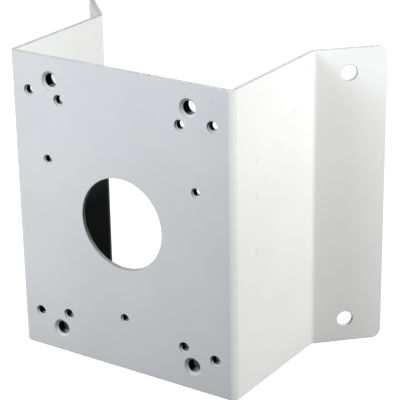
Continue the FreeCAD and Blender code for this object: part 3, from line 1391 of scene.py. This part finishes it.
@dataclass(frozen=True)
class WhiteFloor:
    """A wide white floor that keeps a soft shadow and lets a view from below through.

    Its half width is in metres. Between the bracket's walls it has a painted shadow from
    shade_front to shade_full, which fades out at shade_end.
    """

    half_width: float = 6.0
    glow: float = 0.95
    lit_grey: float = 0.20
    bounce_grey: float = 0.02
    shade_half_width: float = 79.5
    shade_front: float = -63.0
    shade_border: float = 1.0
    shade_full: float = 10.0
    shade_end: float = 54.0
    shade_depth: float = 0.95

    def build(self) -> bpy.types.Object:
        """Lay the floor at the surface that the bracket stands on.

        Returns:
            The floor.
        """
        mesh = bpy.data.meshes.new("floor")
        half = self.half_width
        corners = [(-half, -half, 0), (half, -half, 0), (half, half, 0), (-half, half, 0)]
        mesh.from_pydata(corners, [], [(0, 1, 2, 3)])
        mesh.materials.append(self._material())
        floor = place("floor", mesh)
        return floor

    def _material(self) -> bpy.types.Material:
        """Build the floor's material: a pale glow for the eye and plain grey for its bounce.

        Returns:
            The material.
        """
        material, graph = new_material("white_floor")
        open_floor = self._open_floor(graph)
        bounce = graph.add("ShaderNodeBsdfDiffuse", {"Color": opaque((self.bounce_grey,) * 3)})
        # Painted shadow: the glow and the lit grey fade out deep between the walls.
        grey = graph.product(open_floor, self.lit_grey)
        lit = graph.add("ShaderNodeBsdfDiffuse", {"Color": graph.whole(grey, grey, grey)})
        glow = graph.add("ShaderNodeEmission", {"Strength": graph.product(open_floor, self.glow)})
        both = graph.add("ShaderNodeAddShader", {0: lit.outputs[0], 1: glow.outputs[0]})
        inputs = {0: seen_directly(graph), 1: bounce.outputs[0], 2: both.outputs[0]}
        chosen = graph.add("ShaderNodeMixShader", inputs)
        clear = graph.add("ShaderNodeBsdfTransparent")
        below = graph.add("ShaderNodeNewGeometry").outputs["Backfacing"]
        sided = graph.add("ShaderNodeMixShader", {0: below, 1: chosen.outputs[0], 2: clear.outputs[0]})
        graph.add("ShaderNodeOutputMaterial", {"Surface": sided.outputs[0]})
        return material

    def _open_floor(self, graph: NodeGraph) -> Socket:
        """Tell the open floor from the part that the folded sheet closes in on three sides, where a painted
        shadow lies.

        Args:
            graph: The floor's graph.

        Returns:
            A socket that is 1 on the open floor and near 0 deep between the walls.
        """
        x, y, _ = graph.parts(graph.add("ShaderNodeTexCoord").outputs["Object"])
        side = graph.calc("ABSOLUTE", x)
        half, front = self.shade_half_width * MM, self.shade_front * MM
        border = self.shade_border * MM
        beside = graph.remap(side, half - border, half + border, 0.0, 1.0)
        before = graph.remap(y, front - border, front + border, 1.0, 0.0)
        behind = graph.remap(y, self.shade_full * MM, self.shade_end * MM, 0.0, 1.0)
        outside = graph.calc("MAXIMUM", graph.calc("MAXIMUM", beside, before), behind)
        return graph.calc("MAXIMUM", outside, 1.0 - self.shade_depth)


def seen_directly(graph: NodeGraph) -> Socket:
    """Tell apart what the eye sees, straight or in a gloss, from what only lights the object.

    Args:
        graph: The material or world that asks.

    Returns:
        A socket that is 1 for camera, glossy and transmission rays and 0 for the others.
    """
    rays = graph.add("ShaderNodeLightPath").outputs
    straight_or_gloss = graph.calc("MAXIMUM", rays["Is Camera Ray"], rays["Is Glossy Ray"])
    return graph.calc("MAXIMUM", straight_or_gloss, rays["Is Transmission Ray"])


@dataclass(frozen=True)
class PhotoCamera:
    """The photograph's camera, from its focal length in pixels, its angles and its place."""

    image_pixels: float = 400.0
    focal_pixels: float = 1629.315
    yaw: float = 33.974
    pitch: float = 21.874
    roll: float = -0.991
    place: Triple = (558.107, -804.959, 487.431)

    def build(self) -> bpy.types.Object:
        """Set the camera up as the scene's own.

        Returns:
            The camera.
        """
        yaw, pitch, roll = (math.radians(angle) for angle in (self.yaw, self.pitch, self.roll))
        ahead = Vector((-math.sin(yaw) * math.cos(pitch), math.cos(yaw) * math.cos(pitch), -math.sin(pitch)))
        level = Vector((math.cos(yaw), math.sin(yaw), 0.0))
        upright = level.cross(ahead)
        right = level * math.cos(roll) + upright * math.sin(roll)
        up = upright * math.cos(roll) - level * math.sin(roll)
        data = bpy.data.cameras.new("photo_camera")
        data.lens = self.focal_pixels / self.image_pixels * data.sensor_width
        camera = bpy.data.objects.new("photo_camera", data)
        camera.matrix_world = Matrix((right, up, -ahead)).transposed().to_4x4()
        camera.location = Vector(self.place) * MM
        bpy.context.scene.collection.objects.link(camera)
        bpy.context.scene.camera = camera
        return camera


@dataclass(frozen=True)
class Studio:
    """The floor, the lamps, the white surroundings and the camera."""

    softboxes: tuple[Softbox, ...]
    ambient: float = 0.015
    surroundings: float = 1.0

    def build(self) -> None:
        """Set the studio up round the bracket."""
        target = (cad_box[0] + cad_box[1]) / 2
        WhiteFloor().build()
        for softbox in self.softboxes:
            softbox.build(target)
        self._world()
        PhotoCamera().build()
        bpy.context.scene.view_settings.view_transform = "Standard"

    def _world(self) -> None:
        """Make the surroundings white to the eye and only faintly lit for the object."""
        world = bpy.data.worlds.new("studio")
        world.use_nodes = True
        graph = NodeGraph(world.node_tree)
        white = opaque((1.0, 1.0, 1.0))
        faint = graph.add("ShaderNodeBackground", {"Color": white, "Strength": self.ambient})
        bright = graph.add("ShaderNodeBackground", {"Color": white, "Strength": self.surroundings})
        inputs = {0: seen_directly(graph), 1: faint.outputs[0], 2: bright.outputs[0]}
        mixed = graph.add("ShaderNodeMixShader", inputs)
        graph.add("ShaderNodeOutputWorld", {"Surface": mixed.outputs[0]})
        bpy.context.scene.world = world


COAT_MARKS = (
    FaintMark((82.5, -38.6, 149.9), (1.0, 3.2, 3.4), 0.13),
    FaintMark((82.5, -38.1, 126.3), (1.0, 3.0, 3.8), 0.15),
    FaintMark((82.5, -38.7, 91.2), (1.0, 2.9, 3.1), 0.12),
    FaintMark((82.5, 5.4, 168.1), (1.0, 3.6, 3.0), 0.15),
    FaintMark((82.5, 23.4, 190.6), (1.0, 3.0, 2.6), 0.22),
    FaintMark((98.6, 45.0, 170.0), (0.7, 0.7, 2.0), 0.28),
    FaintMark((100.2, 46.6, 127.8), (1.4, 1.4, 1.9), 0.13),
    FaintMark((99.3, 45.7, 107.6), (1.5, 1.5, 1.7), 0.10),
    FaintMark((91.0, 37.4, 98.5), (1.4, 1.4, 2.0), 0.10),
    FaintMark((89.9, 36.3, 24.0), (1.3, 1.3, 1.8), 0.17),
    FaintMark((67.3, -63.6, 191.5), (3.2, 1.0, 2.8), 0.13),
    FaintMark((40.4, -63.6, 185.5), (1.8, 1.0, 1.6), 0.15),
    FaintMark((40.6, -63.6, 21.1), (2.0, 1.0, 2.0), 0.13),
    FaintMark((-24.1, -63.6, 26.1), (1.6, 1.0, 1.4), 0.12),
    # The last mark is a dark arc along the top of the upper right large hole's rim.
    FaintMark((49.7, -63.6, 191.9), (1.8, 1.0, 0.8), 0.40),
)

LARGE_THREADS = TappedHoles(
    name="large_threads",
    layout=HoleLayout.RECTANGLE,
    bore=4.25,
    root=5.0,
    pitch=1.5,
    mouth=6.2,
    spacing_x=102.4,
    spacing_z=168.8,
    collar=6.8,
    collar_stand=5.0,
    rim_wear=2.5,
    shaded_side=4.0,
    steps=64,
)
SMALL_THREADS_WIDE = TappedHoles(
    name="small_threads_wide",
    layout=HoleLayout.RECTANGLE,
    bore=2.5,
    root=3.0,
    pitch=1.0,
    mouth=3.68,
    spacing_x=136.0,
    spacing_z=151.6,
    collar=3.8,
    collar_stand=2.0,
    mouth_slope=71.0,
    ledge=0.35,
    rim_wear=4.0,
    bare_step=0.4,
)
SMALL_THREADS_NARROW = replace(
    SMALL_THREADS_WIDE, name="small_threads_narrow", spacing_x=90.0, spacing_z=145.4
)
RING_THREADS = TappedHoles(
    name="ring_threads",
    layout=HoleLayout.RING,
    bore=2.1,
    root=2.5,
    pitch=0.8,
    mouth=3.15,
    spacing_x=128.6,
    count=3,
    collar=3.3,
    collar_stand=2.0,
    mouth_slope=71.0,
    ledge=0.35,
    rim_wear=4.0,
    bare_step=0.35,
    steps=40,
)

FIXING_FROM_FOLD = 22.4
FIXING_FROM_END = 15.8

SOFTBOXES = (
    Softbox("key_softbox", -10.5, 29.0, 0.73, 0.216, 3.92, (0.955, 0.972, 1.0)),
    Softbox("side_softbox", 89.8, 33.3, 0.96, 0.096, 8.50, (1.0, 0.996, 0.955)),
    Softbox("low_softbox", -38.0, -14.3, 0.234, 0.139, 0.050),
    Softbox("rear_side_softbox", 121.5, 19.7, 0.547, 0.235, 0.72),
    Softbox("left_softbox", -115.0, 22.0, 1.0, 0.4, 3.5),
    Softbox("rear_softbox", 195.0, 15.0, 1.2, 0.6, 7.0),
)


def plain_holes(sizes: SheetSizes) -> tuple[PlainHole, ...]:
    """Place the cable hole and the four fixing holes on the blank.

    Args:
        sizes: The sheet's sizes.

    Returns:
        The five holes.
    """
    # The cable hole's rear cut is drawn darker than its front, partly as painted shade
    wear = EdgeWear(rim=5.0, front_cut=2.5, rear_cut=4.0)
    cable_hole = PlainHole(x=0.0, z=sizes.height / 2, radius=30.0, steps=144, wear=wear)
    wear = EdgeWear(rim=5.0, front_cut=3.5, rear_cut=3.5)
    fixing_holes = [
        PlainHole(x=side * sizes.on_flange(FIXING_FROM_FOLD), z=z, radius=5.2, steps=48, wear=wear)
        for side in (-1, 1)
        for z in (FIXING_FROM_END, sizes.height - FIXING_FROM_END)
    ]
    return (cable_hole, *fixing_holes)


def main() -> None:
    """Build the bracket and its studio."""
    logging.basicConfig(level=logging.INFO, format="%(name)s: %(message)s")
    sizes = SheetSizes()
    tapped = (LARGE_THREADS, SMALL_THREADS_WIDE, SMALL_THREADS_NARROW, RING_THREADS)
    coat = PowderCoat(marks=COAT_MARKS)
    bracket = CornerBracket(sizes, tapped, plain_holes(sizes), coat, BareThread())
    piece = bracket.build(ShaderGroups())
    LOG.info("%s: %d faces", piece.name, len(piece.data.polygons))
    Studio(SOFTBOXES).build()
    LOG.info("studio: %d softboxes", len(SOFTBOXES))


if __name__ == "__main__":
    main()
